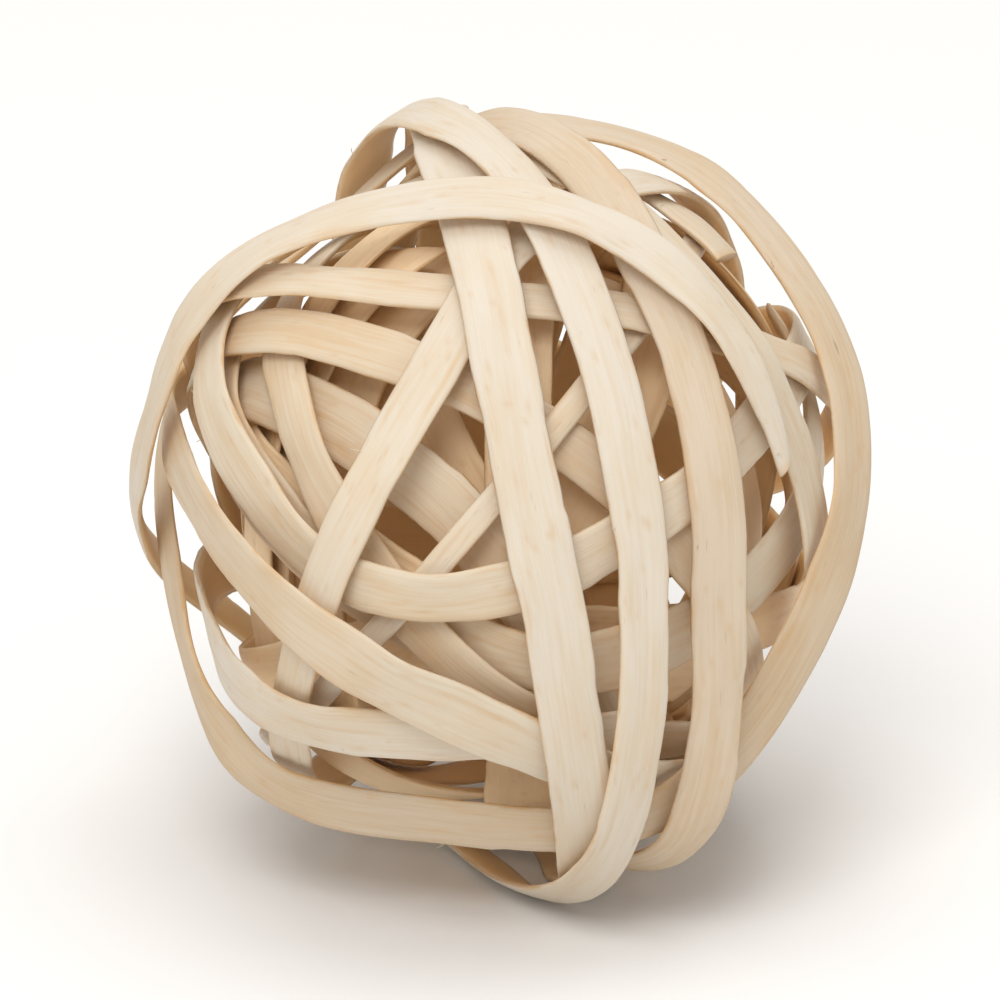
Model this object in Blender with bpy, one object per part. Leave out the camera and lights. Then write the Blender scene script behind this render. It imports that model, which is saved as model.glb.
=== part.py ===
"""A decorative ball, wound by hand from long strips of split and peeled cane.

Each strip is one flat ribbon that goes two or three times round the ball. It lies on the strips wound before it,
pulled tight over every crossing and springing out a little in between, and nothing fills the hollow inside.
The ball rests on a small flat spot, with its front towards -Y. Metres, +Z up, the origin under the ball's middle.
"""

import math
from collections import namedtuple

import bmesh
import bpy
import numpy as np
from mathutils import Matrix, Quaternion, Vector
from mathutils.kdtree import KDTree

# Driving dimensions
HOLLOW_RADIUS = 0.0172  # free space inside the first strip
CORE_GROWTH = 0.0009  # how much wider each core strip springs than the one wound before it
OUTER_GROWTH = 0.00035  # the same of the outer strips
STRIP_THICKNESS = 0.00065  # at the crown of the rounded outer face
EDGE_THICKNESS = 0.0005  # where the outer face turns down to the edge
EDGE_ROUNDING = 0.00025  # how far the edge leans in from the flat inner face
TOUCH_GAP = 0.0003  # kept between two strips where they cross
FLAT_SPOT_DEPTH = 0.0005  # how much of the lowest strips the flat spot takes off
NARROW = 0.0018  # widths of the strips
SLIM = 0.0032
MIDDLING = 0.0038
BROAD = 0.0045
WIDEST = 0.0054
LAYER = STRIP_THICKNESS + TOUCH_GAP  # how far one strip lifts the next

# The number of strips
CORE_COUNT = 3
OUTER_COUNT = 8

# How a strip gives
SPRING_ROUNDS = 80  # the more, the wider a strip bends over a crossing
BEND_ROUNDS = 60  # the more, the rounder it bends where a crossing holds it up
BEND_REACH = 13  # samples on each side of a crossing that rise with it
ROLL_ROUNDS = 8
LARGEST_ROLL = math.radians(9)  # how far a strip leans over to lie on its neighbours

# Where the front looks, which is the side that the sighted passes are laid out on
SIGHT_ELEVATION = math.radians(21)

# Working steps
STEP_ANGLE = math.radians(1.5)  # between two samples along a strip
STEP_ACROSS = 0.0006
FACET_SLACK = 0.00018  # how far a facet may stray from the true line of the strip
LONGEST_FACET = math.radians(14)
FOOTPRINT_SHARE = 0.7  # a sample stands for the surface this share of the spacing around it
LEAST_SWING = math.radians(80)  # the shortest stretch in which a strip turns to its next pass
OWN_LAG = math.radians(60)  # a strip can cross itself this much later

TONES = {
    "bleached_cane": (0.80, 0.71, 0.57, 1.0),
    "cream_cane": (0.76, 0.64, 0.47, 1.0),
    "tan_cane": (0.64, 0.48, 0.31, 1.0),
}
CANE_ROUGHNESS = 0.62

Strip = namedtuple("Strip", "name tone widths hoop passes lead tail turned")
Pass = namedtuple("Pass", "start through end")
Course = namedtuple("Course", "directions sides")


def seen(share, right, up, side=1):
    """The direction from the ball's middle to a point as it shows from the front, in shares of the ball's radius.

    share is how far out the point lies, and side is -1 where it is on the far half.
    """
    depth = side * math.sqrt(max(0.0, share * share - right * right - up * up))
    right_axis = Vector((1, 0, 0))
    up_axis = Vector((0, math.sin(SIGHT_ELEVATION), math.cos(SIGHT_ELEVATION)))
    towards = Vector((0, -math.cos(SIGHT_ELEVATION), math.sin(SIGHT_ELEVATION)))
    return (right * right_axis + up * up_axis + depth * towards).normalized()


def core_hoop(number):
    """How wide a core strip springs, by its place in the winding."""
    return HOLLOW_RADIUS + (number - 1) * CORE_GROWTH


def outer_hoop(number):
    """The same of an outer strip: the first one lies on the last of the core."""
    return core_hoop(CORE_COUNT) + LAYER + number * OUTER_GROWTH


def outer(number, tone, widths, sighted, lead, tail, turned=0):
    """A strip by the points that its passes go through, as they show from the front.

    widths are those of its first and its last end, and turned is how many degrees it faces the front at the outline.
    """
    share = (outer_hoop(number) + LAYER) / (outer_hoop(OUTER_COUNT) + LAYER)
    passes = [Pass(*(seen(share, *point) for point in points)) for points in sighted]
    return Strip(f"outer_strip_{number}", tone, widths, outer_hoop(number), passes, lead, tail, turned)


def round_axis(axis):
    """A pass round an axis through the ball's middle, as the strips of the hollow core make."""
    axis = Vector(axis).normalized()
    start = axis.orthogonal().normalized()
    return Pass(*(Quaternion(axis, math.radians(angle)) @ start for angle in (0, 50, 100)))


# Three and three hoops about the six long diagonals of an icosahedron, which spread evenly over a ball, and three
# narrower ones that close the largest gaps that these leave
GOLDEN = (1 + math.sqrt(5)) / 2
CORE_STRIPS = [
    Strip("core_strip_1", "tan_cane", (WIDEST, WIDEST), core_hoop(1),
          [round_axis((0, 1, GOLDEN)), round_axis((1, GOLDEN, 0)), round_axis((GOLDEN, 0, 1))], 20, 200, 0),
    Strip("core_strip_2", "cream_cane", (WIDEST, WIDEST), core_hoop(2),
          [round_axis((0, -1, GOLDEN)), round_axis((-GOLDEN, 0, 1)), round_axis((-1, GOLDEN, 0))], 60, 190, 0),
    Strip("core_strip_3", "tan_cane", (BROAD, BROAD), core_hoop(3),
          [round_axis((-0.3, 1, -0.4)), round_axis((-1, 0, 0)), round_axis((0.4, -0.1, 0.9))], 30, 170, 0),
]

# The outer strips in the order in which they were wound, each with the points of its passes, and the degrees
# that it runs before the first pass and after the last one
OUTER_STRIPS = [
    outer(1, "cream_cane", (BROAD, BROAD),
          [[(-0.52, 0.22), (-0.25, 0.02), (0.06, -0.33)],
           [(-0.46, -0.22), (0.05, -0.41), (0.78, -0.12)]], 150, 60),
    outer(2, "cream_cane", (SLIM, MIDDLING),
          [[(-0.62, 0.40), (-0.58, 0.21), (-0.48, -0.02)],
           [(-0.66, 0.42), (-0.26, 0.36), (0.44, -0.13)]], 150, 150),
    outer(3, "bleached_cane", (NARROW, NARROW),
          [[(-0.32, -0.30), (-0.06, 0.0), (0.36, 0.52)]], 190, 280),
    outer(4, "cream_cane", (MIDDLING, SLIM),
          [[(-0.76, 0.40), (-0.72, 0.09), (-0.52, -0.14)],
           [(-0.82, 0.29, -1), (-0.72, 0.50), (-0.21, 0.57)]], 140, 150),
    outer(5, "bleached_cane", (SLIM, BROAD),
          [[(-0.45, -0.15), (-0.29, 0.23), (-0.14, 0.52)],
           [(-0.86, -0.36), (-0.29, -0.58), (0.10, -0.62)]], 90, 15),
    outer(6, "cream_cane", (MIDDLING, BROAD),
          [[(-0.36, 0.80, -1), (0.42, 0.68), (0.80, 0.10)],
           [(-0.90, 0.08), (-0.46, -0.33), (0.05, -0.62)]], 100, 120),
    outer(7, "tan_cane", (MIDDLING, MIDDLING),
          [[(0.85, 0.42), (0.60, -0.59), (-0.24, -0.84)],
           [(0.41, 0.52), (0.55, -0.15), (0.42, -0.72)]], 70, 130, 30),
    outer(8, "bleached_cane", (BROAD, SLIM),
          [[(-0.12, 0.73), (0.02, 0.09), (0.15, -0.70)],
           [(0.12, 0.67), (0.29, 0.18), (-0.33, -0.82, -1)],
           [(-0.86, 0.36), (-0.12, 0.78), (0.62, 0.34)]], 100, 20, 15),
]


def plane_of(one_pass):
    """The normal of a pass's plane, about which it runs anticlockwise, and how far the plane is off the middle."""
    start, through, end = one_pass
    normal = (through - start).cross(end - through).normalized()
    return normal, start.dot(normal)


def phase_in(direction, first, second):
    return math.atan2(direction.dot(second), direction.dot(first)) % math.tau


def rough_course(strip):
    """Directions from the ball's middle along a strip: round each pass in turn, swinging from one to the next."""
    normal, bow = plane_of(strip.passes[0])
    first = (strip.passes[0].start - strip.passes[0].start.dot(normal) * normal).normalized()
    second = normal.cross(first)
    phase = -math.radians(strip.lead)
    course = []

    def walk(until, turn, bow_from, bow_to, swing_from):
        """Goes on to a phase, while the plane turns by a rotation and its bow changes."""
        nonlocal phase
        while phase < until:
            share = 0.0 if until <= swing_from else max(0.0, (phase - swing_from) / (until - swing_from))
            eased = share * share * (3 - 2 * share)
            part = Quaternion().slerp(turn, eased)
            bow = bow_from + (bow_to - bow_from) * eased
            ring = math.cos(phase) * (part @ first) + math.sin(phase) * (part @ second)
            course.append(bow * (part @ normal) + math.sqrt(1 - bow * bow) * ring)
            phase += STEP_ANGLE

    still = Quaternion()
    walk(phase_in(strip.passes[0].end, first, second), still, bow, bow, phase)
    for following in strip.passes[1:]:
        next_normal, next_bow = plane_of(following)
        turn = normal.rotation_difference(next_normal)
        next_first, next_second = turn @ first, turn @ second
        arrival = phase_in(following.start, next_first, next_second)
        while arrival < phase + LEAST_SWING:
            arrival += math.tau
        walk(arrival, turn, bow, next_bow, phase)
        normal, first, second, bow = next_normal, next_first, next_second, next_bow
        stretch = (phase_in(following.end, first, second) - arrival) % math.tau
        walk(arrival + stretch, still, bow, bow, phase)
    walk(phase + math.radians(strip.tail), still, bow, bow, phase)
    return np.array([d.normalized() for d in course])


def even_course(strip):
    """The same course in equal steps, with the direction across the strip at each."""
    rough = rough_course(strip)
    steps = np.arccos(np.clip((rough[1:] * rough[:-1]).sum(1), -1, 1))
    travelled = np.concatenate([[0], np.cumsum(steps)])
    wanted = np.arange(0, travelled[-1], STEP_ANGLE)
    directions = np.stack([np.interp(wanted, travelled, rough[:, k]) for k in range(3)], axis=1)
    directions /= np.linalg.norm(directions, axis=1, keepdims=True)
    sides = np.cross(directions, np.gradient(directions, axis=0))
    sides /= np.linalg.norm(sides, axis=1, keepdims=True)
    return Course(directions, sides)


def halves_of(strip, count):
    """Half the strip's width at each of some samples: a strip is split to a slow taper."""
    return np.linspace(*strip.widths, count) / 2


def shares_across(halves):
    """Where the samples lie across a strip, from -1 to 1."""
    return np.linspace(-1, 1, math.ceil(2 * halves.max() / STEP_ACROSS) + 1)


def outer_height(share, halves):
    """How high the outer face stands over the flat inner face."""
    rounding = EDGE_ROUNDING / halves.mean()
    return np.interp(abs(share), [0, 1 - rounding, 1], [STRIP_THICKNESS, EDGE_THICKNESS, EDGE_THICKNESS / 2])


def leaned(course, rolls):
    """The across and outward directions of a strip that leans by an angle at each sample."""
    turn, lift = np.cos(rolls)[:, None], np.sin(rolls)[:, None]
    return (turn * course.sides + lift * course.directions,
            turn * course.directions - lift * course.sides)


def outer_face(course, radii, rolls, halves):
    """Points of the strip's outer face, one row for each place across it."""
    sides, outward = leaned(course, rolls)
    middle = course.directions * radii[:, None]
    return [middle + (share * halves)[:, None] * sides + outer_height(share, halves) * outward
            for share in shares_across(halves)]


def tree_of(rows):
    """A search tree over the directions of some points, with the radius of each point."""
    points = np.concatenate(rows)
    radii = np.linalg.norm(points, axis=1)
    tree = KDTree(len(points))
    for index, direction in enumerate(points / radii[:, None]):
        tree.insert(direction, index)
    tree.balance()
    return tree, radii


def highest_below(course, radii, halves, ground, own_rows=None):
    """The radius of what lies under each place of a strip: earlier strips, and its own earlier turns."""
    shares = shares_across(halves)
    found = np.zeros((len(shares), len(radii)))
    spacing = math.hypot(STEP_ACROSS, STEP_ANGLE * radii.max())
    tree, tops = ground
    own = tree_of(own_rows) if own_rows else None
    lag = int(OWN_LAG / STEP_ANGLE)
    for row, share in enumerate(shares):
        points = course.directions * radii[:, None] + (share * halves)[:, None] * course.sides
        lengths = np.linalg.norm(points, axis=1)
        for column, (point, length) in enumerate(zip(points, lengths)):
            direction = point / length
            reach = FOOTPRINT_SHARE * spacing / length
            best = max((tops[i] for _, i, _ in tree.find_range(direction, reach)), default=0.0)
            if own:
                hits = own[0].find_range(direction, reach)
                best = max([best] + [own[1][i] for _, i, _ in hits if i % len(radii) < column - lag])
            found[row, column] = best
    return found


def smoothed(values, rounds):
    for _ in range(rounds):
        padded = np.concatenate([values[:1], values, values[-1:]])
        values = 0.25 * padded[:-2] + 0.5 * padded[1:-1] + 0.25 * padded[2:]
    return values


def roll_onto(heights, hoop, halves):
    """How far the strip leans, sideways, so that it lies on what is under its two edges."""
    floor = np.maximum(heights, hoop)
    third = len(heights) // 3
    rise = floor[-third:].mean(0) - floor[:third].mean(0)
    return smoothed(np.clip(np.arctan(rise / (2 * halves)), -LARGEST_ROLL, LARGEST_ROLL), ROLL_ROUNDS)


def turned_forward(strip, course):
    """The lean that turns the face of a strip towards the front where it runs along the ball's outline."""
    towards = (0, -math.cos(SIGHT_ELEVATION), math.sin(SIGHT_ELEVATION))
    return -math.radians(strip.turned) * (course.sides @ towards)


def needed_radii(heights, rolls, hoop, halves):
    """The least radius of the middle of the inner face that clears everything below it."""
    offsets = shares_across(halves)[:, None] * halves
    reached = np.where(heights > 0, heights + TOUCH_GAP, 0)
    level = np.sqrt(np.maximum(reached ** 2 - (offsets * np.cos(rolls)) ** 2, 0)) - offsets * np.sin(rolls)
    return np.maximum(level.max(0), hoop)


def pulled_tight(needed):
    """The needed radii with straight stretches between the places that hold the strip up."""
    def chord(a, b, at):
        (i, r), (j, s) = a, b
        span = (j - i) * STEP_ANGLE
        return (math.sin((j - at) * STEP_ANGLE) / r + math.sin((at - i) * STEP_ANGLE) / s) / math.sin(span)

    kept = []
    for point in enumerate(needed):
        while len(kept) > 1 and 1 / kept[-1][1] >= chord(kept[-2], point, kept[-1][0]):
            kept.pop()
        kept.append(point)
    radii = np.array(needed)
    for a, b in zip(kept, kept[1:]):
        for at in range(a[0] + 1, b[0]):
            radii[at] = 1 / chord(a, b, at)
    return radii


def bent_over(needed):
    """The radii of a stiff strip: pulled tight, sprung out a little in between, and bent roundly over each crossing."""
    radii = pulled_tight(needed)
    for _ in range(SPRING_ROUNDS):
        radii = np.maximum(needed, smoothed(radii, 1))
    radii = smoothed(radii, BEND_ROUNDS)
    short = np.pad(np.maximum(needed - radii, 0), BEND_REACH, mode="edge")
    rise = np.max([short[k:k + len(radii)] for k in range(2 * BEND_REACH + 1)], axis=0)
    return np.maximum(needed, radii + smoothed(rise, BEND_ROUNDS))


def settled(strip, course, halves, ground):
    """The radii and the lean of a strip laid on the ground below it and on its own earlier turns."""
    radii = np.full(len(course.directions), strip.hoop)
    turns = math.ceil(len(radii) * STEP_ANGLE / math.tau)
    own_rows = None
    for _ in range(turns + 1):
        heights = highest_below(course, radii, halves, ground, own_rows)
        rolls = roll_onto(heights, strip.hoop, halves) + turned_forward(strip, course)
        needed = needed_radii(heights, rolls, strip.hoop, halves)
        radii = bent_over(needed)
        own_rows = outer_face(course, radii, rolls, halves)
    return radii, rolls


def section(half):
    """A strip's cross-section: a flat inner face and a rounded outer one, as (across, outward) pairs."""
    return [(-half, 0.0), (half, 0.0), (half - EDGE_ROUNDING, EDGE_THICKNESS),
            (0.0, STRIP_THICKNESS), (-half + EDGE_ROUNDING, EDGE_THICKNESS)]


def stations(line):
    """The samples that a faceted strip needs so that no facet strays from its true line."""
    longest = int(LONGEST_FACET / STEP_ANGLE)

    def split(i, j):
        if j - i < 2:
            return []
        chord = line[j] - line[i]
        away = line[i + 1:j] - line[i]
        along = (away @ chord) / (chord @ chord)
        strays = np.linalg.norm(away - along[:, None] * chord, axis=1)
        worst = int(strays.argmax())
        if strays[worst] < FACET_SLACK and j - i <= longest:
            return []
        middle = i + 1 + worst if strays[worst] >= FACET_SLACK else (i + j) // 2
        return split(i, middle) + [middle] + split(middle, j)

    return [0] + split(0, len(line) - 1) + [len(line) - 1]


def ribbon(strip, course, radii, rolls, halves):
    """The closed mesh of one strip about the ball's middle."""
    sides, outward = leaned(course, rolls)
    line = course.directions * radii[:, None]
    bm = bmesh.new()
    rings = []
    for at in stations(line):
        rings.append([bm.verts.new(line[at] + a * sides[at] + h * outward[at]) for a, h in section(halves[at])])
    count = len(rings[0])
    for ring, following in zip(rings, rings[1:]):
        for k in range(count):
            after = (k + 1) % count
            bm.faces.new((ring[k], ring[after], following[after], following[k]))
    bm.faces.new(rings[0])
    bm.faces.new(rings[-1])
    bmesh.ops.recalc_face_normals(bm, faces=bm.faces)
    mesh = bpy.data.meshes.new(strip.name)
    bm.to_mesh(mesh)
    bm.free()
    return mesh


def cut_flat(mesh, level):
    """Takes off what reaches below a level, and closes the cut with a flat face."""
    bm = bmesh.new()
    bm.from_mesh(mesh)
    if min(v.co.z for v in bm.verts) < level:
        cut = bmesh.ops.bisect_plane(bm, geom=bm.verts[:] + bm.edges[:] + bm.faces[:], dist=1e-7,
                                     plane_co=(0, 0, level), plane_no=(0, 0, -1), clear_outer=True)
        rim = [e for e in cut["geom_cut"] if isinstance(e, bmesh.types.BMEdge)]
        bmesh.ops.holes_fill(bm, edges=rim)
        bmesh.ops.recalc_face_normals(bm, faces=bm.faces)
        bm.to_mesh(mesh)
    bm.free()


def cane(tone):
    material = bpy.data.materials.new(tone)
    material.use_nodes = True
    shader = material.node_tree.nodes["Principled BSDF"]
    shader.inputs["Base Color"].default_value = TONES[tone]
    shader.inputs["Roughness"].default_value = CANE_ROUGHNESS
    material.diffuse_color = TONES[tone]
    return material


def wound_meshes():
    """Every strip with its mesh about the ball's middle, laid in the order of winding."""
    meshes = []
    nothing = KDTree(0)
    nothing.balance()
    ground, rows = (nothing, []), []
    for strip in CORE_STRIPS + OUTER_STRIPS:
        course = even_course(strip)
        halves = halves_of(strip, len(course.directions))
        radii, rolls = settled(strip, course, halves, ground)
        meshes.append((strip, ribbon(strip, course, radii, rolls, halves)))
        rows += outer_face(course, radii, rolls, halves)
        ground = tree_of(rows)
    return meshes


def main():
    for thing in list(bpy.data.objects):
        bpy.data.objects.remove(thing)
    materials = {tone: cane(tone) for tone in TONES}
    meshes = wound_meshes()
    corners = np.array([v.co for _, mesh in meshes for v in mesh.vertices])
    lowest, highest = corners.min(0), corners.max(0)
    level = lowest[2] + FLAT_SPOT_DEPTH
    middle = (lowest + highest) / 2
    place = Matrix.Translation((-middle[0], -middle[1], -level))
    for strip, mesh in meshes:
        cut_flat(mesh, level)
        mesh.transform(place)
        mesh.materials.append(materials[strip.tone])
        bpy.context.collection.objects.link(bpy.data.objects.new(strip.name, mesh))


main()
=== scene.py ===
"""Dresses the wound cane ball: each strip is laid again as in the solids, with its fibres and cut ends."""

import math
from collections import namedtuple

import bpy
import numpy as np
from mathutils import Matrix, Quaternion, Vector
from mathutils.kdtree import KDTree


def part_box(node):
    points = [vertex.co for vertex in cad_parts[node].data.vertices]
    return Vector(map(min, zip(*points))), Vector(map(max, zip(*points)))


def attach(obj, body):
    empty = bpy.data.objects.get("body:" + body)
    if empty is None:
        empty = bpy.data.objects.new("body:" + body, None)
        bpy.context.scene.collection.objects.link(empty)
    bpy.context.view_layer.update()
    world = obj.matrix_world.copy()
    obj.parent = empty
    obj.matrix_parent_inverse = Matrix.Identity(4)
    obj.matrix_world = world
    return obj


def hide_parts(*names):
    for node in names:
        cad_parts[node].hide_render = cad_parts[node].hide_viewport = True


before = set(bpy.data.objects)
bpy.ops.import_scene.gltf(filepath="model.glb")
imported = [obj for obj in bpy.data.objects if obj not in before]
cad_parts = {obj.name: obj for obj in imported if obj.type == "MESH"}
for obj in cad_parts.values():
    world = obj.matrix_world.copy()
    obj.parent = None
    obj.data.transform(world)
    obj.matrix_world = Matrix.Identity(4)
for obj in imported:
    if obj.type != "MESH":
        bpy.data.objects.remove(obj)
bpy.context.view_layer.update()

# The winding, with the same values as the part's source, in metres
HOLLOW_RADIUS = 0.0172
CORE_GROWTH = 0.0009
OUTER_GROWTH = 0.00035
STRIP_THICKNESS = 0.00065
EDGE_THICKNESS = 0.0005
EDGE_ROUNDING = 0.00025
TOUCH_GAP = 0.0003
NARROW = 0.0018
SLIM = 0.0032
MIDDLING = 0.0038
BROAD = 0.0045
WIDEST = 0.0054
LAYER = STRIP_THICKNESS + TOUCH_GAP
CORE_COUNT = 3
OUTER_COUNT = 8
SPRING_ROUNDS = 80
BEND_ROUNDS = 60
BEND_REACH = 13
ROLL_ROUNDS = 8
LARGEST_ROLL = math.radians(9)
SIGHT_ELEVATION = math.radians(21)
STEP_ANGLE = math.radians(1.5)
STEP_ACROSS = 0.0006
FOOTPRINT_SHARE = 0.7
LEAST_SWING = math.radians(80)
OWN_LAG = math.radians(60)

# The finer strips that are seen
MILLIMETRE = 0.001
STATION_SPACING = 0.00024  # along a strip
GROWN_IN = 0.00006  # how much closer a strip comes to what is under it than its solid does
CROWN_HEIGHT = 0.00064  # outer face over the solid's inner face
WIDEST_LEVEL = 0.00030  # height at which the section is widest
OUTER_COLUMNS = 17
INNER_COLUMNS = 6
DOME_HEIGHT = 0.00009
FOLD_HEIGHT = 0.00013
FIBRE_DEPTH = 0.00004
EDGE_WANDER = 0.06  # of the half width, as are the next two
NICK_DEPTH = 0.035
SLIVER_WIDTH = 0.075
LEAST_SHEET = 0.0001  # what is left of a strip's thickness where the flat spot cuts it
WELD_DISTANCE = 0.000002
CHART_SIZE = 0.2  # metres of cane to one unit of a strip's own chart
TAIL_LENGTH = 0.015
TAIL_SHARES = {"outer_strip_8": 0.35}  # what is left of the width at the end of a strip that narrows
HAIR_RADIUS = 0.00003
HAIR_SHARE = 0.007  # of the stations carry a loose fibre
HAIR_ROOT = 0.76  # of the half width
HAIR_LEVEL = 0.0003
HAIRLESS_HEIGHT = 0.003  # loose fibres start above this height over the floor

# How a strip wanders from its course: wavelength and depth
LEAN_WAVE, LEAN_DEPTH = 0.013, math.radians(3.0)
LONG_SWAY_WAVE, LONG_SWAY_DEPTH = 0.011, 0.00018
SHORT_SWAY_WAVE, SHORT_SWAY_DEPTH = 0.004, 0.00007
WIDTH_WAVE, WIDTH_DEPTH = 0.013, 0.06
LEAST_SLANT, LARGEST_SLANT = 0.25, 0.7  # of a cut end, as far along the strip for each step across
SLANT_REACH = 3.2  # half widths
END_STATIONS = 4  # that take the tone of a cut end
FIRST_SEED = 100

# Tones: the pale and the warm colour of the cane, and how much of the warm one shows
TONES = {
    "bleached_cane": ((0.69, 0.62, 0.52), (0.66, 0.53, 0.37), 0.45),
    "cream_cane": ((0.68, 0.59, 0.46), (0.63, 0.47, 0.30), 0.5),
    "tan_cane": ((0.64, 0.53, 0.40), (0.58, 0.43, 0.27), 0.5),
}
CORE_PAINTED_SHADE_TONE = ((0.87, 0.68, 0.45), (0.82, 0.60, 0.36), 0.5)  # of the core: painted shade, a warmer, browner colour that stands in for the shade and the warm bounced light inside the ball

FLOOR_REACH = 4.0
CAMERA_LENS = 480
CAMERA_DISTANCE = 0.9

Strip = namedtuple("Strip", "name tone widths hoop passes lead tail turned")
Pass = namedtuple("Pass", "start through end")
Course = namedtuple("Course", "directions sides")


def seen(share, right, up, side=1):
    """The direction to a point as it shows from the front, in shares of the ball's radius."""
    depth = side * math.sqrt(max(0.0, share * share - right * right - up * up))
    right_axis = Vector((1, 0, 0))
    up_axis = Vector((0, math.sin(SIGHT_ELEVATION), math.cos(SIGHT_ELEVATION)))
    towards = Vector((0, -math.cos(SIGHT_ELEVATION), math.sin(SIGHT_ELEVATION)))
    return (right * right_axis + up * up_axis + depth * towards).normalized()


def core_hoop(number):
    return HOLLOW_RADIUS + (number - 1) * CORE_GROWTH


def outer_hoop(number):
    return core_hoop(CORE_COUNT) + LAYER + number * OUTER_GROWTH


def outer(number, tone, widths, sighted, lead, tail, turned=0):
    share = (outer_hoop(number) + LAYER) / (outer_hoop(OUTER_COUNT) + LAYER)
    passes = [Pass(*(seen(share, *point) for point in points)) for points in sighted]
    return Strip(f"outer_strip_{number}", tone, widths, outer_hoop(number), passes, lead, tail, turned)


def round_axis(axis):
    axis = Vector(axis).normalized()
    start = axis.orthogonal().normalized()
    return Pass(*(Quaternion(axis, math.radians(angle)) @ start for angle in (0, 50, 100)))


GOLDEN = (1 + math.sqrt(5)) / 2
STRIPS = [
    Strip("core_strip_1", "tan_cane", (WIDEST, WIDEST), core_hoop(1),
          [round_axis((0, 1, GOLDEN)), round_axis((1, GOLDEN, 0)), round_axis((GOLDEN, 0, 1))],
          20, 200, 0),
    Strip("core_strip_2", "cream_cane", (WIDEST, WIDEST), core_hoop(2),
          [round_axis((0, -1, GOLDEN)), round_axis((-GOLDEN, 0, 1)), round_axis((-1, GOLDEN, 0))],
          60, 190, 0),
    Strip("core_strip_3", "tan_cane", (BROAD, BROAD), core_hoop(3),
          [round_axis((-0.3, 1, -0.4)), round_axis((-1, 0, 0)), round_axis((0.4, -0.1, 0.9))],
          30, 170, 0),
    outer(1, "cream_cane", (BROAD, BROAD),
          [[(-0.52, 0.22), (-0.25, 0.02), (0.06, -0.33)],
           [(-0.46, -0.22), (0.05, -0.41), (0.78, -0.12)]], 150, 60),
    outer(2, "cream_cane", (SLIM, MIDDLING),
          [[(-0.62, 0.40), (-0.58, 0.21), (-0.48, -0.02)],
           [(-0.66, 0.42), (-0.26, 0.36), (0.44, -0.13)]], 150, 150),
    outer(3, "bleached_cane", (NARROW, NARROW),
          [[(-0.32, -0.30), (-0.06, 0.0), (0.36, 0.52)]], 190, 280),
    outer(4, "cream_cane", (MIDDLING, SLIM),
          [[(-0.76, 0.40), (-0.72, 0.09), (-0.52, -0.14)],
           [(-0.82, 0.29, -1), (-0.72, 0.50), (-0.21, 0.57)]], 140, 150),
    outer(5, "bleached_cane", (SLIM, BROAD),
          [[(-0.45, -0.15), (-0.29, 0.23), (-0.14, 0.52)],
           [(-0.86, -0.36), (-0.29, -0.58), (0.10, -0.62)]], 90, 15),
    outer(6, "cream_cane", (MIDDLING, BROAD),
          [[(-0.36, 0.80, -1), (0.42, 0.68), (0.80, 0.10)],
           [(-0.90, 0.08), (-0.46, -0.33), (0.05, -0.62)]], 100, 120),
    outer(7, "tan_cane", (MIDDLING, MIDDLING),
          [[(0.85, 0.42), (0.60, -0.59), (-0.24, -0.84)],
           [(0.41, 0.52), (0.55, -0.15), (0.42, -0.72)]], 70, 130, 30),
    outer(8, "bleached_cane", (BROAD, SLIM),
          [[(-0.12, 0.73), (0.02, 0.09), (0.15, -0.70)],
           [(0.12, 0.67), (0.29, 0.18), (-0.33, -0.82, -1)],
           [(-0.86, 0.36), (-0.12, 0.78), (0.62, 0.34)]], 100, 20, 15),
]


def plane_of(one_pass):
    start, through, end = one_pass
    normal = (through - start).cross(end - through).normalized()
    return normal, start.dot(normal)


def phase_in(direction, first, second):
    return math.atan2(direction.dot(second), direction.dot(first)) % math.tau


def rough_course(strip):
    """Directions from the ball's middle along a strip: round each pass, swinging from one to the next."""
    normal, bow = plane_of(strip.passes[0])
    first = (strip.passes[0].start - strip.passes[0].start.dot(normal) * normal).normalized()
    second = normal.cross(first)
    phase = -math.radians(strip.lead)
    course = []

    def walk(until, turn, bow_from, bow_to, swing_from):
        nonlocal phase
        while phase < until:
            share = 0.0 if until <= swing_from else max(0.0, (phase - swing_from) / (until - swing_from))
            eased = share * share * (3 - 2 * share)
            part = Quaternion().slerp(turn, eased)
            bow = bow_from + (bow_to - bow_from) * eased
            ring = math.cos(phase) * (part @ first) + math.sin(phase) * (part @ second)
            course.append(bow * (part @ normal) + math.sqrt(1 - bow * bow) * ring)
            phase += STEP_ANGLE

    still = Quaternion()
    walk(phase_in(strip.passes[0].end, first, second), still, bow, bow, phase)
    for following in strip.passes[1:]:
        next_normal, next_bow = plane_of(following)
        turn = normal.rotation_difference(next_normal)
        next_first, next_second = turn @ first, turn @ second
        arrival = phase_in(following.start, next_first, next_second)
        while arrival < phase + LEAST_SWING:
            arrival += math.tau
        walk(arrival, turn, bow, next_bow, phase)
        normal, first, second, bow = next_normal, next_first, next_second, next_bow
        stretch = (phase_in(following.end, first, second) - arrival) % math.tau
        walk(arrival + stretch, still, bow, bow, phase)
    walk(phase + math.radians(strip.tail), still, bow, bow, phase)
    return np.array([d.normalized() for d in course])


def even_course(strip):
    """The same course in equal steps, with the direction across the strip at each."""
    rough = rough_course(strip)
    steps = np.arccos(np.clip((rough[1:] * rough[:-1]).sum(1), -1, 1))
    travelled = np.concatenate([[0], np.cumsum(steps)])
    wanted = np.arange(0, travelled[-1], STEP_ANGLE)
    directions = np.stack([np.interp(wanted, travelled, rough[:, k]) for k in range(3)], axis=1)
    directions /= np.linalg.norm(directions, axis=1, keepdims=True)
    sides = np.cross(directions, np.gradient(directions, axis=0))
    sides /= np.linalg.norm(sides, axis=1, keepdims=True)
    return Course(directions, sides)


def halves_of(strip, count):
    """Half the strip's width at each of some samples: a strip is split to a slow taper."""
    return np.linspace(*strip.widths, count) / 2


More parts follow.
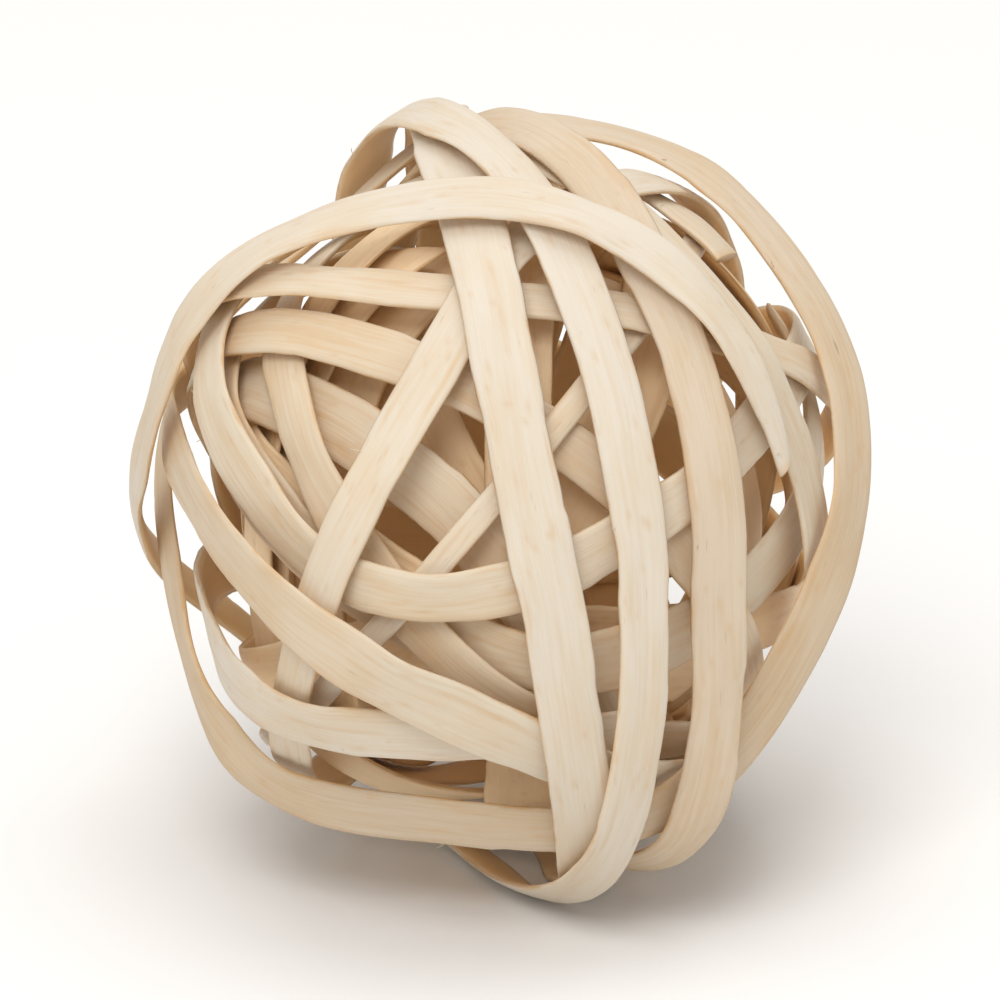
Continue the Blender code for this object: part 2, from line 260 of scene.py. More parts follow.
def shares_across(halves):
    """Where the samples lie across a strip, from -1 to 1."""
    return np.linspace(-1, 1, math.ceil(2 * halves.max() / STEP_ACROSS) + 1)


def outer_height(share, halves):
    rounding = EDGE_ROUNDING / halves.mean()
    return np.interp(abs(share), [0, 1 - rounding, 1], [STRIP_THICKNESS, EDGE_THICKNESS, EDGE_THICKNESS / 2])


def leaned(course, rolls):
    turn, lift = np.cos(rolls)[:, None], np.sin(rolls)[:, None]
    return (turn * course.sides + lift * course.directions,
            turn * course.directions - lift * course.sides)


def outer_face(course, radii, rolls, halves):
    sides, outward = leaned(course, rolls)
    middle = course.directions * radii[:, None]
    return [middle + (share * halves)[:, None] * sides + outer_height(share, halves) * outward
            for share in shares_across(halves)]


def tree_of(rows):
    points = np.concatenate(rows)
    radii = np.linalg.norm(points, axis=1)
    tree = KDTree(len(points))
    for index, direction in enumerate(points / radii[:, None]):
        tree.insert(direction, index)
    tree.balance()
    return tree, radii


def highest_below(course, radii, halves, ground, own_rows=None):
    """The radius of what lies under each place of a strip: earlier strips, and its own earlier turns."""
    shares = shares_across(halves)
    found = np.zeros((len(shares), len(radii)))
    spacing = math.hypot(STEP_ACROSS, STEP_ANGLE * radii.max())
    tree, tops = ground
    own = tree_of(own_rows) if own_rows else None
    lag = int(OWN_LAG / STEP_ANGLE)
    for row, share in enumerate(shares):
        points = course.directions * radii[:, None] + (share * halves)[:, None] * course.sides
        lengths = np.linalg.norm(points, axis=1)
        for column, (point, length) in enumerate(zip(points, lengths)):
            direction = point / length
            reach = FOOTPRINT_SHARE * spacing / length
            best = max((tops[i] for _, i, _ in tree.find_range(direction, reach)), default=0.0)
            if own:
                hits = own[0].find_range(direction, reach)
                best = max([best] + [own[1][i] for _, i, _ in hits if i % len(radii) < column - lag])
            found[row, column] = best
    return found


def smoothed(values, rounds):
    for _ in range(rounds):
        padded = np.concatenate([values[:1], values, values[-1:]])
        values = 0.25 * padded[:-2] + 0.5 * padded[1:-1] + 0.25 * padded[2:]
    return values


def roll_onto(heights, hoop, halves):
    floor = np.maximum(heights, hoop)
    third = len(heights) // 3
    rise = floor[-third:].mean(0) - floor[:third].mean(0)
    return smoothed(np.clip(np.arctan(rise / (2 * halves)), -LARGEST_ROLL, LARGEST_ROLL), ROLL_ROUNDS)


def turned_forward(strip, course):
    """The lean that turns the face of a strip towards the front where it runs along the ball's outline."""
    towards = (0, -math.cos(SIGHT_ELEVATION), math.sin(SIGHT_ELEVATION))
    return -math.radians(strip.turned) * (course.sides @ towards)


def needed_radii(heights, rolls, hoop, halves):
    offsets = shares_across(halves)[:, None] * halves
    reached = np.where(heights > 0, heights + TOUCH_GAP, 0)
    level = np.sqrt(np.maximum(reached ** 2 - (offsets * np.cos(rolls)) ** 2, 0)) - offsets * np.sin(rolls)
    return np.maximum(level.max(0), hoop)


def pulled_tight(needed):
    """The needed radii with straight stretches between the places that hold the strip up."""
    def chord(a, b, at):
        (i, r), (j, s) = a, b
        span = (j - i) * STEP_ANGLE
        return (math.sin((j - at) * STEP_ANGLE) / r + math.sin((at - i) * STEP_ANGLE) / s) / math.sin(span)

    kept = []
    for point in enumerate(needed):
        while len(kept) > 1 and 1 / kept[-1][1] >= chord(kept[-2], point, kept[-1][0]):
            kept.pop()
        kept.append(point)
    radii = np.array(needed)
    for a, b in zip(kept, kept[1:]):
        for at in range(a[0] + 1, b[0]):
            radii[at] = 1 / chord(a, b, at)
    return radii


def bent_over(needed):
    """The radii of a stiff strip: pulled tight, sprung out a little, and bent roundly over each crossing."""
    radii = pulled_tight(needed)
    for _ in range(SPRING_ROUNDS):
        radii = np.maximum(needed, smoothed(radii, 1))
    radii = smoothed(radii, BEND_ROUNDS)
    short = np.pad(np.maximum(needed - radii, 0), BEND_REACH, mode="edge")
    rise = np.max([short[k:k + len(radii)] for k in range(2 * BEND_REACH + 1)], axis=0)
    return np.maximum(needed, radii + smoothed(rise, BEND_ROUNDS))


def settled(strip, course, halves, ground):
    """The radii and the lean of a strip laid on the ground below it and on its own earlier turns."""
    radii = np.full(len(course.directions), strip.hoop)
    turns = math.ceil(len(radii) * STEP_ANGLE / math.tau)
    own_rows = None
    for _ in range(turns + 1):
        heights = highest_below(course, radii, halves, ground, own_rows)
        rolls = roll_onto(heights, strip.hoop, halves) + turned_forward(strip, course)
        needed = needed_radii(heights, rolls, strip.hoop, halves)
        radii = bent_over(needed)
        own_rows = outer_face(course, radii, rolls, halves)
    return radii, rolls


def wound():
    """Every strip's course, radii and lean about the ball's middle, laid in the order of winding."""
    laid = []
    nothing = KDTree(0)
    nothing.balance()
    ground, rows = (nothing, []), []
    for strip in STRIPS:
        course = even_course(strip)
        halves = halves_of(strip, len(course.directions))
        radii, rolls = settled(strip, course, halves, ground)
        laid.append((strip, course, radii, rolls))
        rows += outer_face(course, radii, rolls, halves)
        ground = tree_of(rows)
    return laid


def ball_middle(laid):
    """Where the ball's middle lies in the frame: the strips' boxes are set against those of their solids."""
    shifts = []
    for strip, course, radii, rolls in laid:
        rows = outer_face(course, radii, rolls, halves_of(strip, len(radii)))
        rows.append(course.directions * radii[:, None])
        points = np.concatenate(rows)
        low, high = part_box(strip.name)
        shifts += [np.array(low) - points.min(0), np.array(high) - points.max(0)]
    return np.median(shifts, axis=0)


# Node trees, a node at a time

class Tree:
    """A node tree under construction. A value is a number, a vector, or another node's output."""

    def __init__(self, tree):
        self.tree = tree

    def put(self, kind, values=(), out=0, **settings):
        node = self.tree.nodes.new(kind)
        for key, setting in settings.items():
            setattr(node, key, setting)
        pairs = values.items() if isinstance(values, dict) else enumerate(values)
        for key, value in pairs:
            if isinstance(value, bpy.types.NodeSocket):
                self.tree.links.new(value, node.inputs[key])
            elif value is not None:
                node.inputs[key].default_value = value
        return node.outputs[out]

    def math(self, operation, *values, clamp=False):
        return self.put("ShaderNodeMath", values, operation=operation, use_clamp=clamp)

    def add(self, *values, clamp=False):
        return self.math("ADD", *values, clamp=clamp)

    def less(self, *values, clamp=False):
        return self.math("SUBTRACT", *values, clamp=clamp)

    def times(self, *values):
        return self.math("MULTIPLY", *values)

    def over(self, *values):
        return self.math("DIVIDE", *values)

    def power(self, *values):
        return self.math("POWER", *values)

    def larger(self, *values):
        return self.math("MAXIMUM", *values)

    def scaled(self, vector, by):
        return self.put("ShaderNodeVectorMath", {0: vector, 3: by}, operation="SCALE")

    def summed(self, *vectors):
        total = vectors[0]
        for vector in vectors[1:]:
            total = self.put("ShaderNodeVectorMath", (total, vector), operation="ADD")
        return total

    def vector(self, *parts):
        return self.put("ShaderNodeCombineXYZ", parts)

    def noise(self, place, detail, roughness):
        """Smooth noise of scale 1 at a place, from 0 to 1."""
        return self.put("ShaderNodeTexNoise",
                        {"Vector": place, "Scale": 1.0, "Detail": detail, "Roughness": roughness})

    def drawn(self, first, second, seed, first_rate, second_rate, shift, detail, roughness):
        """Noise that is drawn out: it changes at one rate with one measure and at another with the other."""
        first, second = self.times(first, first_rate), self.times(second, second_rate)
        return self.noise(self.vector(first, second, self.add(seed, shift)), detail, roughness)

    def ranged(self, value, low, high, to_low=0.0, to_high=1.0):
        return self.put("ShaderNodeMapRange", (value, low, high, to_low, to_high),
                        interpolation_type="SMOOTHSTEP")

    def named(self, name, kind="FLOAT"):
        return self.put("GeometryNodeInputNamedAttribute", (name,), data_type=kind)

    def kept(self, geometry, name, value, kind="FLOAT", domain="POINT"):
        return self.put("GeometryNodeStoreNamedAttribute",
                        {"Geometry": geometry, "Name": name, "Value": value}, data_type=kind, domain=domain)


def new_tree(name, kind, inputs, outputs):
    """A node tree with named inputs and outputs, and the sockets inside it by name."""
    tree = bpy.data.node_groups.new(name, kind)
    for label, socket, preset in inputs:
        item = tree.interface.new_socket(name=label, in_out="INPUT", socket_type=socket)
        if preset is not None:
            item.default_value = preset
    for label, socket in outputs:
        tree.interface.new_socket(name=label, in_out="OUTPUT", socket_type=socket)
    entry = tree.nodes.new("NodeGroupInput")
    leave = tree.nodes.new("NodeGroupOutput")
    return Tree(tree), entry.outputs, leave.inputs


def edge_widths(t, share, length, given):
    """The width at each edge, as a share: each edge wanders, is nicked and has slivers split off."""
    which, seed = t.math("SIGN", share), given["Seed"]
    wander = t.drawn(length, which, seed, 0.13, 7.3, 0.0, 3.0, 0.55)
    nicked = t.ranged(t.drawn(length, which, seed, 1.6, 3.1, 20.0, 2.0, 0.6), 0.66, 0.78)
    split_off = t.ranged(t.drawn(length, which, seed, 0.12, 5.7, 50.0, 0.0, 0.5), 0.58, 0.68)
    wide = t.add(1.0, t.times(t.times(t.less(wander, 0.5), 2.4), given["Edge wander"]))
    return t.less(wide, t.add(t.times(nicked, NICK_DEPTH), t.times(split_off, given["Sliver"])))


def lengthwise_fold(t, share, length, seed):
    """A fold that wanders across the strip and fades in and out: the distance beside it, and its strength."""
    wandering = t.noise(t.vector(t.times(length, 0.035), 0.0, t.add(seed, 61.0)), 1.0, 0.5)
    fading = t.noise(t.vector(t.times(length, 0.045), 9.0, t.add(seed, 71.0)), 1.0, 0.5)
    folded = t.ranged(fading, 0.32, 0.68, -1.0, 1.0)
    beside = t.less(share, t.times(t.less(wandering, 0.5), 2.6))
    return t.math("SQRT", t.add(t.times(beside, beside), 0.002)), folded


def fibre_relief(t, across_mm, length, seed):
    """Long ridges and grooves along the strip, and the narrow cuts between fibres."""
    broad = t.drawn(across_mm, length, seed, 0.75, 0.05, 0.0, 2.0, 0.5)
    fine = t.drawn(across_mm, length, seed, 2.6, 0.10, 9.0, 2.0, 0.6)
    groove = t.drawn(across_mm, length, seed, 1.5, 0.045, 33.0, 1.0, 0.5)
    cut = t.less(1.0, t.over(t.math("ABSOLUTE", t.less(groove, 0.56)), 0.012), clamp=True)
    relief = t.add(t.times(t.less(broad, 0.5), 3.2), t.times(t.less(fine, 0.5), 1.3))
    return t.less(relief, t.times(cut, 1.1)), cut


def loose_fibres(t, stations, given):
    """Bent, tapered hairs that stand off the edges at a few of the stations."""
    def random(low, high, seed, kind="FLOAT"):
        low_input, high_input, output = {"FLOAT": (2, 3, 1), "FLOAT_VECTOR": (0, 1, 0)}[kind]
        return t.put("FunctionNodeRandomValue", {low_input: low, high_input: high, "Seed": seed},
                     out=output, data_type=kind)

    side, outward, onward = (t.named(name, "FLOAT_VECTOR") for name in ("side", "outward", "onward"))
    bend = t.put("GeometryNodeCurveQuadraticBezier",
                 {"Resolution": 6, "Start": (0, 0, -0.0002), "Middle": (0.0001, 0, 0.0005),
                  "End": (0.0005, 0, 0.0008)})
    along_hair = t.put("GeometryNodeSplineParameter")
    tapered = t.put("GeometryNodeSetCurveRadius",
                    {"Curve": bend, "Radius": t.less(1.0, t.times(along_hair, 0.75))})
    round_hair = t.put("GeometryNodeCurvePrimitiveCircle", {"Resolution": 4, "Radius": HAIR_RADIUS})
    hair = t.put("GeometryNodeCurveToMesh",
                 {"Curve": tapered, "Profile Curve": round_hair, "Fill Caps": True})
    edge_side = t.math("SIGN", random(-1.0, 1.0, 3))
    inset = t.times(t.times(t.named("half"), HAIR_ROOT), edge_side)
    root = t.summed(t.scaled(side, inset), t.scaled(outward, HAIR_LEVEL))
    roots = t.put("GeometryNodeSetPosition", {"Geometry": stations, "Offset": root})
    lean = t.summed(t.scaled(side, t.times(edge_side, random(0.3, 1.3, 5))),
                    t.scaled(outward, random(0.0, 0.9, 6)),
                    t.scaled(onward, random(-1.6, 1.6, 7)))
    turn = t.put("FunctionNodeAlignRotationToVector", {"Vector": lean}, axis="Z")
    above = t.put("ShaderNodeSeparateXYZ", (t.put("GeometryNodeInputPosition"),), out=2)
    chance = t.times(t.math("GREATER_THAN", above, HAIRLESS_HEIGHT), given["Loose fibres"])
    chosen = t.math("LESS_THAN", random(0.0, 1.0, t.add(given["Seed"], 4.0)), chance)
    return t.put("GeometryNodeInstanceOnPoints",
                 {"Points": roots, "Selection": chosen, "Instance": hair, "Rotation": turn,
                  "Scale": random((0.5, 0.5, 0.4), (1.2, 1.2, 1.5), 8, "FLOAT_VECTOR")})


def ribbon_tree():
    """The tree that gives a line of stations its section, its fibres, ragged edges and closed ends."""
    number, whole = "NodeSocketFloat", "NodeSocketInt"
    t, given, result = new_tree(
        "cane_ribbon", "GeometryNodeTree",
        [("Stations", "NodeSocketGeometry", None), ("Outer columns", whole, OUTER_COLUMNS),
         ("Inner columns", whole, INNER_COLUMNS), ("Crown", number, CROWN_HEIGHT),
         ("Widest level", number, WIDEST_LEVEL), ("Grown in", number, GROWN_IN),
         ("Dome", number, DOME_HEIGHT), ("Fold", number, FOLD_HEIGHT), ("Fibre depth", number, FIBRE_DEPTH),
         ("Edge wander", number, EDGE_WANDER), ("Sliver", number, SLIVER_WIDTH), ("Seed", number, 0.0),
         ("Loose fibres", number, HAIR_SHARE), ("Cane", "NodeSocketMaterial", None)],
        [("Geometry", "NodeSocketGeometry")])
    stations, seed = given["Stations"], given["Seed"]
    outer_count, inner_count = given["Outer columns"], given["Inner columns"]
    around = t.add(t.add(outer_count, inner_count), 1.0)
    count = t.put("GeometryNodeAttributeDomainSize", (stations,))
    grid = t.put("GeometryNodeMeshGrid", (1.0, 1.0, count, around))
    index = t.put("GeometryNodeInputIndex")
    row = t.math("FLOOR", t.over(t.add(index, 0.5), around))
    column = t.less(index, t.times(row, around))

    def at_row(value, kind="FLOAT"):
        return t.put("GeometryNodeSampleIndex", {"Geometry": stations, "Value": value, "Index": row},
                     data_type=kind)

    place = at_row(t.put("GeometryNodeInputPosition"), "FLOAT_VECTOR")
    side, outward, onward = (at_row(t.named(name, "FLOAT_VECTOR"), "FLOAT_VECTOR")
                             for name in ("side", "outward", "onward"))
    half, girth, travelled, slant, near_end = (at_row(t.named(name)) for name in
                                               ("half", "girth", "travelled", "slant", "near_end"))

    # Where a column lies across the strip, from -1 to 1: over the outer face and back under the inner one
    last = t.less(outer_count, 1.0)
    on_outer = t.math("LESS_THAN", column, t.add(last, 0.5))
    inner = t.less(1.0, on_outer)
    forth = t.over(column, last)
    back = t.less(1.0, t.over(t.less(column, last), t.add(inner_count, 1.0)))
    run = t.add(t.times(on_outer, forth), t.times(inner, back))
    straight = t.math("MULTIPLY_ADD", run, 2.0, -1.0)
    curved = t.math("SINE", t.times(straight, math.pi / 2))
    share = t.add(t.times(straight, 0.35), t.times(curved, 0.65))
    away = t.math("ABSOLUTE", share)
    across = t.times(share, half)
    length = t.over(travelled, MILLIMETRE)

    # The section: a flat, slightly domed outer face and an inner one that thins to the edges
    crowned = t.power(t.less(1.0, t.power(away, 7.0), clamp=True), 0.5)
    thinned = t.power(t.less(1.0, t.power(away, 3.0), clamp=True), 0.6)
    level = given["Widest level"]
    dome = t.times(t.less(1.0, t.times(away, away)), given["Dome"])
    rise = t.times(crowned, t.less(t.less(given["Crown"], level), given["Dome"]))
    drop = t.times(thinned, t.add(level, given["Grown in"]))
    height = t.less(t.times(on_outer, t.add(rise, dome)), t.times(inner, drop))

    # The fold moves both faces, and each face has its own fibres
    beside, folded = lengthwise_fold(t, share, length, seed)
    fold = t.times(t.times(t.times(t.less(0.5, beside), folded), given["Fold"]), thinned)
    across_mm = t.add(t.over(across, MILLIMETRE), t.times(inner, 40.0))
    relief, cut = fibre_relief(t, across_mm, length, seed)
    relief = t.times(t.times(relief, given["Fibre depth"]), crowned)
    facing = t.math("MULTIPLY_ADD", on_outer, 2.0, -1.0)
    height = t.add(t.add(level, fold), t.add(height, t.times(relief, facing)))

    # The place of each point. The flat spot cuts a strip at the floor, and leaves a thin sheet of it
    offset = t.times(across, edge_widths(t, share, length, given))
    body = t.summed(t.scaled(side, t.times(offset, girth)),
                    t.scaled(outward, t.times(height, girth)),
                    t.scaled(onward, t.times(across, t.times(slant, girth))),
                    t.scaled(outward, t.times(level, t.less(1.0, girth))))
    lowest = t.vector(-1.0, -1.0, t.times(t.times(inner, thinned), LEAST_SHEET))
    spot = t.put("ShaderNodeVectorMath", (t.summed(place, body), lowest), operation="MAXIMUM")
    shaped = t.put("GeometryNodeSetPosition", {"Geometry": grid, "Position": spot})

    # What the finish reads: the strip's own chart, and where edges, ends, cuts and folds are
    girdle = t.add(t.times(on_outer, across), t.times(inner, t.less(t.times(half, 2.0), across)))
    chart = t.vector(t.over(girdle, CHART_SIZE), t.over(travelled, CHART_SIZE), 0.0)
    crease = t.times(t.ranged(beside, 0.16, 0.05), t.math("ABSOLUTE", folded))
    shaped = t.kept(shaped, "chart", chart, "FLOAT_VECTOR")
    # The 'under' mask marks the inner face, where the finish paints a warm shade
    for name, value in (("edge", away), ("cut_end", near_end), ("grain", t.times(cut, on_outer)),
                        ("under", inner), ("crease", t.times(crease, on_outer))):
        shaped = t.kept(shaped, name, value)
    shaped = t.kept(shaped, "UVMap", t.named("chart", "FLOAT_VECTOR"), "FLOAT2", "CORNER")
    closed = t.put("GeometryNodeMergeByDistance", {"Geometry": shaped, "Distance": WELD_DISTANCE})
    smooth = t.put("GeometryNodeSetShadeSmooth", (closed,))

    both = t.tree.nodes.new("GeometryNodeJoinGeometry")
    t.tree.links.new(smooth, both.inputs[0])
    t.tree.links.new(loose_fibres(t, stations, given), both.inputs[0])
    real = t.put("GeometryNodeRealizeInstances", (both.outputs[0],))
    covered = t.put("GeometryNodeSetMaterial", {"Geometry": real, "Material": given["Cane"]})
    t.tree.links.new(covered, result["Geometry"])
    return t.tree


def drift(rng, travelled, wavelength, depth):
    """A smooth random wander along a strip, within about plus or minus the depth."""
    knots = rng.uniform(-1, 1, int(travelled[-1] / wavelength) + 4)
    at = travelled / wavelength
    low = at.astype(int)
    part = at - low
    eased = part * part * (3 - 2 * part)
    return depth * (knots[low] * (1 - eased) + knots[low + 1] * eased)


def fine_stations(strip, course, radii, rolls, middle, rng):
    """The stations of the fine strip in the frame: a mesh of points with what the ribbon tree reads."""
    line = course.directions * radii[:, None]
    lengths = np.concatenate([[0], np.cumsum(np.linalg.norm(np.diff(line, axis=0), axis=1))])
    travelled = np.linspace(0, lengths[-1], int(lengths[-1] / STATION_SPACING))

    def finer(values):
        if values.ndim > 1:
            return np.stack([finer(values[:, k]) for k in range(values.shape[1])], axis=1)
        return smoothed(np.interp(travelled, lengths, values), 4)

    fine = Course(finer(course.directions), finer(course.sides))
    fine = Course(*(v / np.linalg.norm(v, axis=1, keepdims=True) for v in fine))
    sides, outward = leaned(fine, finer(rolls) + drift(rng, travelled, LEAN_WAVE, LEAN_DEPTH))
    sway = drift(rng, travelled, LONG_SWAY_WAVE, LONG_SWAY_DEPTH)
    sway = sway + drift(rng, travelled, SHORT_SWAY_WAVE, SHORT_SWAY_DEPTH)
    points = fine.directions * finer(radii)[:, None] + sway[:, None] * fine.sides
    onward = np.gradient(points, axis=0)
    onward /= np.linalg.norm(onward, axis=1, keepdims=True)

    to_end = np.minimum(travelled, travelled[-1] - travelled)
    half = halves_of(strip, len(travelled)) * (1 + drift(rng, travelled, WIDTH_WAVE, WIDTH_DEPTH))
    spent = np.clip(1 - (travelled[-1] - travelled) / TAIL_LENGTH, 0, 1)
    half *= 1 - (1 - TAIL_SHARES.get(strip.name, 1)) * spent ** 1.5
    slants = rng.uniform(LEAST_SLANT, LARGEST_SLANT, 2) * rng.choice([-1, 1], 2)
    nearer = np.where(travelled < travelled[-1] / 2, slants[0], slants[1])
    slant = nearer * np.clip(1 - to_end / (SLANT_REACH * half), 0, 1)
    near_end = np.clip(1 - to_end / (END_STATIONS * STATION_SPACING), 0, 1)

    # One more station closes each end: it is drawn together in the plane of the one beside it
    def ended(values):
        return np.concatenate([values[:1], values, values[-1:]])

    girth = ended(np.ones(len(travelled)))
    girth[0] = girth[-1] = 0.0
    mesh = bpy.data.meshes.new(strip.name + "_stations")
    mesh.vertices.add(len(girth))
    mesh.vertices.foreach_set("co", (ended(points) + middle).ravel())
    for name, vectors in (("side", sides), ("outward", outward), ("onward", onward)):
        mesh.attributes.new(name, "FLOAT_VECTOR", "POINT").data.foreach_set("vector", ended(vectors).ravel())
    for name, values in (("half", ended(half)), ("girth", girth), ("travelled", ended(travelled)),
                         ("slant", ended(slant)), ("near_end", ended(near_end))):
        mesh.attributes.new(name, "FLOAT", "POINT").data.foreach_set("value", values)
    return mesh


def grown(mesh, tree, name, inputs):
    """The mesh that a tree makes of another mesh, as an object at the origin."""
    seed_object = bpy.data.objects.new(name + "_line", mesh)
    bpy.context.collection.objects.link(seed_object)
    modifier = seed_object.modifiers.new("grown", "NODES")
    modifier.node_group = tree
    for item in tree.interface.items_tree:
        if item.in_out == "INPUT" and item.name in inputs:
            modifier[item.identifier] = inputs[item.name]
    evaluated = seed_object.evaluated_get(bpy.context.evaluated_depsgraph_get())
    plain_mesh = bpy.data.meshes.new_from_object(evaluated)
    plain_mesh.name = name
    bpy.data.objects.remove(seed_object)
    piece = bpy.data.objects.new(name, plain_mesh)
    bpy.context.collection.objects.link(piece)
    return piece


# Finishes

def fibre_group():
    """Cane seen close to: streaks, stains, pores, knots, tan edges and darker ends, with a warm painted shade
    on the underside.
    """
    number, colour = "NodeSocketFloat", "NodeSocketColor"
    t, given, result = new_tree(
        "cane_fibre", "ShaderNodeTree",
        [("Pale", colour, (0.8, 0.71, 0.57, 1)), ("Warm", colour, (0.7, 0.55, 0.38, 1)),
         ("Bark", colour, (0.58, 0.33, 0.12, 1)), ("Underside painted shade", colour, (0.88, 0.60, 0.31, 1)),
         ("Knot", colour, (0.10, 0.05, 0.02, 1)), ("Warmth", number, 0.4), ("Seed", number, 0.0)],
        [("Colour", colour), ("Roughness", number), ("Height", number)])
    apart = t.tree.nodes.new("ShaderNodeSeparateXYZ")
    t.tree.links.new(t.put("ShaderNodeUVMap", uv_map="UVMap"), apart.inputs[0])
    across_mm = t.times(apart.outputs[0], CHART_SIZE / MILLIMETRE)
    length = t.times(apart.outputs[1], CHART_SIZE / MILLIMETRE)
    edge, end, grain, under, crease = (t.put("ShaderNodeAttribute", out=2, attribute_name=name) for name in
                                       ("edge", "cut_end", "grain", "under", "crease"))
    seed = given["Seed"]

    # Rates across and along, shift of the seed, detail and roughness
    hair, streak, patch, pore, ragged, blot = (
        t.drawn(across_mm, length, seed, *drawing) for drawing in (
            (6.5, 0.16, 0.0, 3.0, 0.65), (3.2, 0.09, 5.0, 3.0, 0.6), (0.35, 0.12, 11.0, 3.0, 0.55),
            (9.0, 0.5, 17.0, 1.0, 0.4), (1.1, 0.22, 23.0, 4.0, 0.6), (0.8, 0.11, 29.0, 3.0, 0.6)))
    pores = t.ranged(pore, 0.76, 0.82)
    slow = t.noise(t.vector(t.times(length, 0.016), 4.0, t.add(seed, 41.0)), 1.0, 0.5)
    stain = t.times(t.ranged(blot, 0.52, 0.72), t.ranged(edge, 0.30, 1.0, 0.25, 1.0))

    # Knots: small dark slits, in a few of the cells that the strip's chart is divided into
    cells = t.tree.nodes.new("ShaderNodeTexVoronoi")
    cells.inputs["Scale"].default_value = 1.0
    t.tree.links.new(t.vector(t.times(across_mm, 0.30), t.times(length, 0.06), seed), cells.inputs["Vector"])
    rare = t.math("GREATER_THAN", t.put("ShaderNodeSeparateColor", (cells.outputs["Color"],)), 0.80)
    knot = t.times(t.ranged(cells.outputs["Distance"], 0.075, 0.035), rare)

    warm = t.add(t.times(t.ranged(streak, 0.42, 0.72), 0.7), t.times(t.ranged(patch, 0.40, 0.68), 0.9))
    warm = t.times(t.add(warm, t.ranged(slow, 0.35, 0.65, -0.4, 0.9)), given["Warmth"])
    warm = t.add(warm, t.times(t.less(hair, 0.5), 1.1), clamp=True)

    def mixed(factor, first, second):
        return t.put("ShaderNodeMix", {0: factor, 6: first, 7: second}, out=2, data_type="RGBA")

    # The inner face of each strip takes a painted shade: a warm orange colour that stands in for the shade
    # and bounced light under it
    cane_colour = mixed(t.times(under, 0.8), mixed(warm, given["Pale"], given["Warm"]), given["Underside painted shade"])
    rim = t.ranged(t.add(edge, t.times(t.less(ragged, 0.5), 0.5)), 0.93, 1.06)
    marks = t.times(pores, 0.22)
    for mask, strength in ((grain, 0.30), (crease, 0.16), (rim, 0.70), (end, 0.55), (stain, 0.40)):
        marks = t.larger(marks, t.times(mask, strength))
    marked = mixed(marks, cane_colour, given["Bark"])
    t.tree.links.new(mixed(t.times(knot, 0.85), marked, given["Knot"]), result["Colour"])
    t.tree.links.new(t.add(0.52, t.add(t.times(hair, 0.12), t.times(rim, 0.10))), result["Roughness"])
    raised = t.add(t.times(hair, 0.5), t.times(streak, 0.7))
    t.tree.links.new(t.less(raised, t.add(t.times(pores, 0.5), knot)), result["Height"])
    return t.tree


def cane(name, group, pale, warm, warmth, seed):
    material = bpy.data.materials.new(name)
    material.use_nodes = True
    t = Tree(material.node_tree)
    shader = material.node_tree.nodes["Principled BSDF"]
    fibre = t.tree.nodes.new("ShaderNodeGroup")
    fibre.node_tree = group
    fibre.inputs["Pale"].default_value = (*pale, 1)
    fibre.inputs["Warm"].default_value = (*warm, 1)
    fibre.inputs["Warmth"].default_value = warmth
    fibre.inputs["Seed"].default_value = seed
    bump = t.tree.nodes.new("ShaderNodeBump")
    bump.inputs["Distance"].default_value = 0.00006
    bump.inputs["Strength"].default_value = 0.8
    t.tree.links.new(fibre.outputs["Height"], bump.inputs["Height"])
    t.tree.links.new(fibre.outputs["Colour"], shader.inputs["Base Color"])
    t.tree.links.new(fibre.outputs["Roughness"], shader.inputs["Roughness"])
    t.tree.links.new(bump.outputs["Normal"], shader.inputs["Normal"])
    shader.inputs["Specular IOR Level"].default_value = 0.35
    material.diffuse_color = (*pale, 1)
    return material


def plain(name, colour, roughness):
    material = bpy.data.materials.new(name)
    material.use_nodes = True
    shader = material.node_tree.nodes["Principled BSDF"]
    shader.inputs["Base Color"].default_value = (*colour, 1)
    shader.inputs["Roughness"].default_value = roughness
    return material


# Studio

def facing(place, target):
    return (target - place).to_track_quat("-Z", "Y").to_euler()


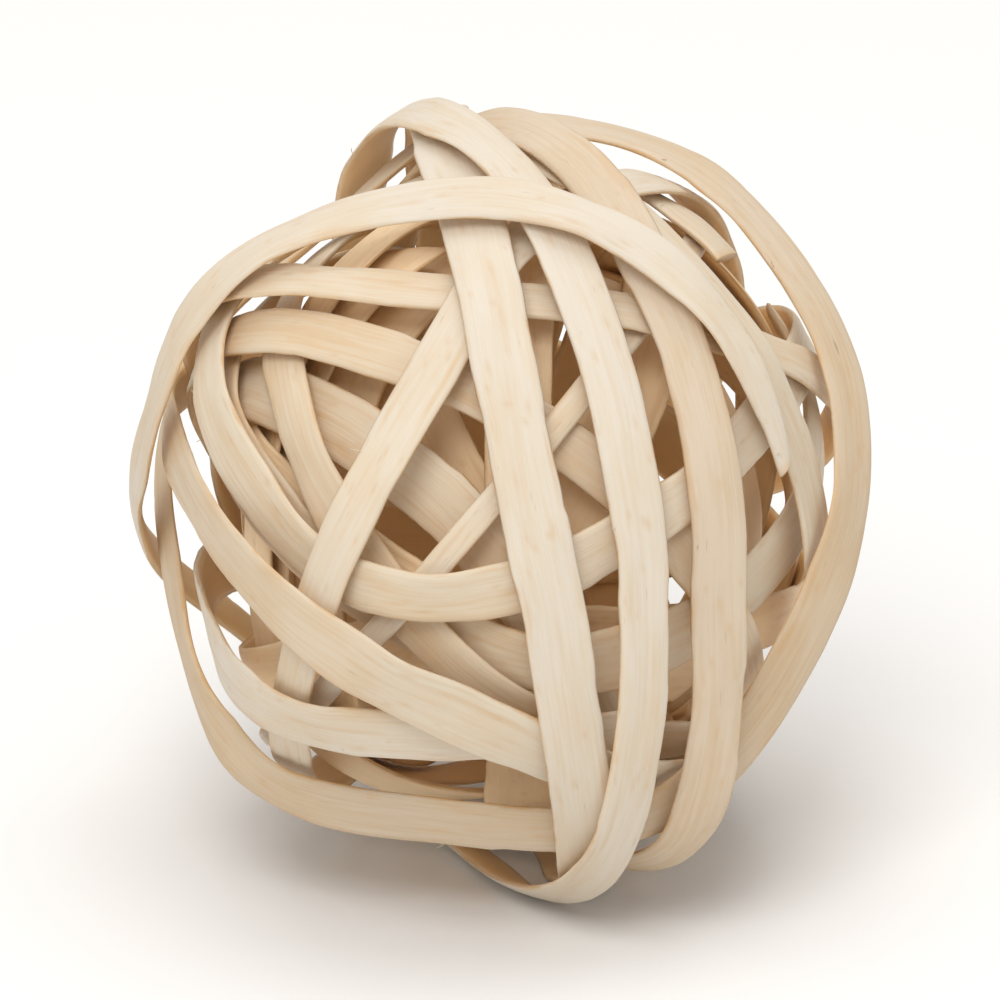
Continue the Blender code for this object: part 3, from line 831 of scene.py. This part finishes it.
def studio(ball_height):
    corners = [(-FLOOR_REACH, -FLOOR_REACH, 0), (FLOOR_REACH, -FLOOR_REACH, 0),
               (FLOOR_REACH, FLOOR_REACH, 0), (-FLOOR_REACH, FLOOR_REACH, 0)]
    floor_mesh = bpy.data.meshes.new("floor")
    floor_mesh.from_pydata(corners, [], [(0, 1, 2, 3)])
    floor_mesh.materials.append(plain("pale_floor", (0.86, 0.855, 0.85), 0.9))
    floor = bpy.data.objects.new("floor", floor_mesh)
    bpy.context.collection.objects.link(floor)

    world = bpy.data.worlds.new("studio")
    bpy.context.scene.world = world
    world.use_nodes = True
    backdrop = world.node_tree.nodes["Background"]
    backdrop.inputs["Color"].default_value = (1.0, 0.99, 0.975, 1)
    backdrop.inputs["Strength"].default_value = 0.62

    target = Vector((0, 0, ball_height))
    for name, place, size, watts, colour in (
            ("key", (-0.16, -0.55, 0.75), 0.5, 4.0, (1.0, 0.985, 0.96)),
            ("top", (0.05, 0.15, 0.9), 0.7, 3.1, (1.0, 0.99, 0.97))):
        data = bpy.data.lights.new(name, "AREA")
        data.size = size
        data.energy = watts
        data.color = colour
        lamp = bpy.data.objects.new(name, data)
        lamp.location = place
        lamp.rotation_euler = facing(Vector(place), target)
        bpy.context.collection.objects.link(lamp)

    camera_data = bpy.data.cameras.new("camera")
    camera_data.lens = CAMERA_LENS
    camera_data.clip_end = 20
    camera = bpy.data.objects.new("camera", camera_data)
    towards = Vector((0, -math.cos(SIGHT_ELEVATION), math.sin(SIGHT_ELEVATION)))
    camera.location = target + CAMERA_DISTANCE * towards
    camera.rotation_euler = facing(camera.location, target)
    bpy.context.collection.objects.link(camera)
    bpy.context.scene.camera = camera
    bpy.context.scene.view_settings.view_transform = "Standard"


def main():
    laid = wound()
    middle = ball_middle(laid)
    tree = ribbon_tree()
    group = fibre_group()
    for number, (strip, course, radii, rolls) in enumerate(laid):
        rng = np.random.RandomState(FIRST_SEED + number)
        mesh = fine_stations(strip, course, radii, rolls, middle, rng)
        # The core strips take the painted shade colour, not their own tone
        tone = TONES[strip.tone] if number >= CORE_COUNT else CORE_PAINTED_SHADE_TONE
        finish = cane(f"cane_of_{strip.name}", group, *tone, 3.7 * number)
        piece = grown(mesh, tree, "wound_" + strip.name,
                      {"Seed": 2.3 * number, "Cane": finish})
        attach(piece, "root")
        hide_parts(strip.name)
    studio(middle[2])


main()
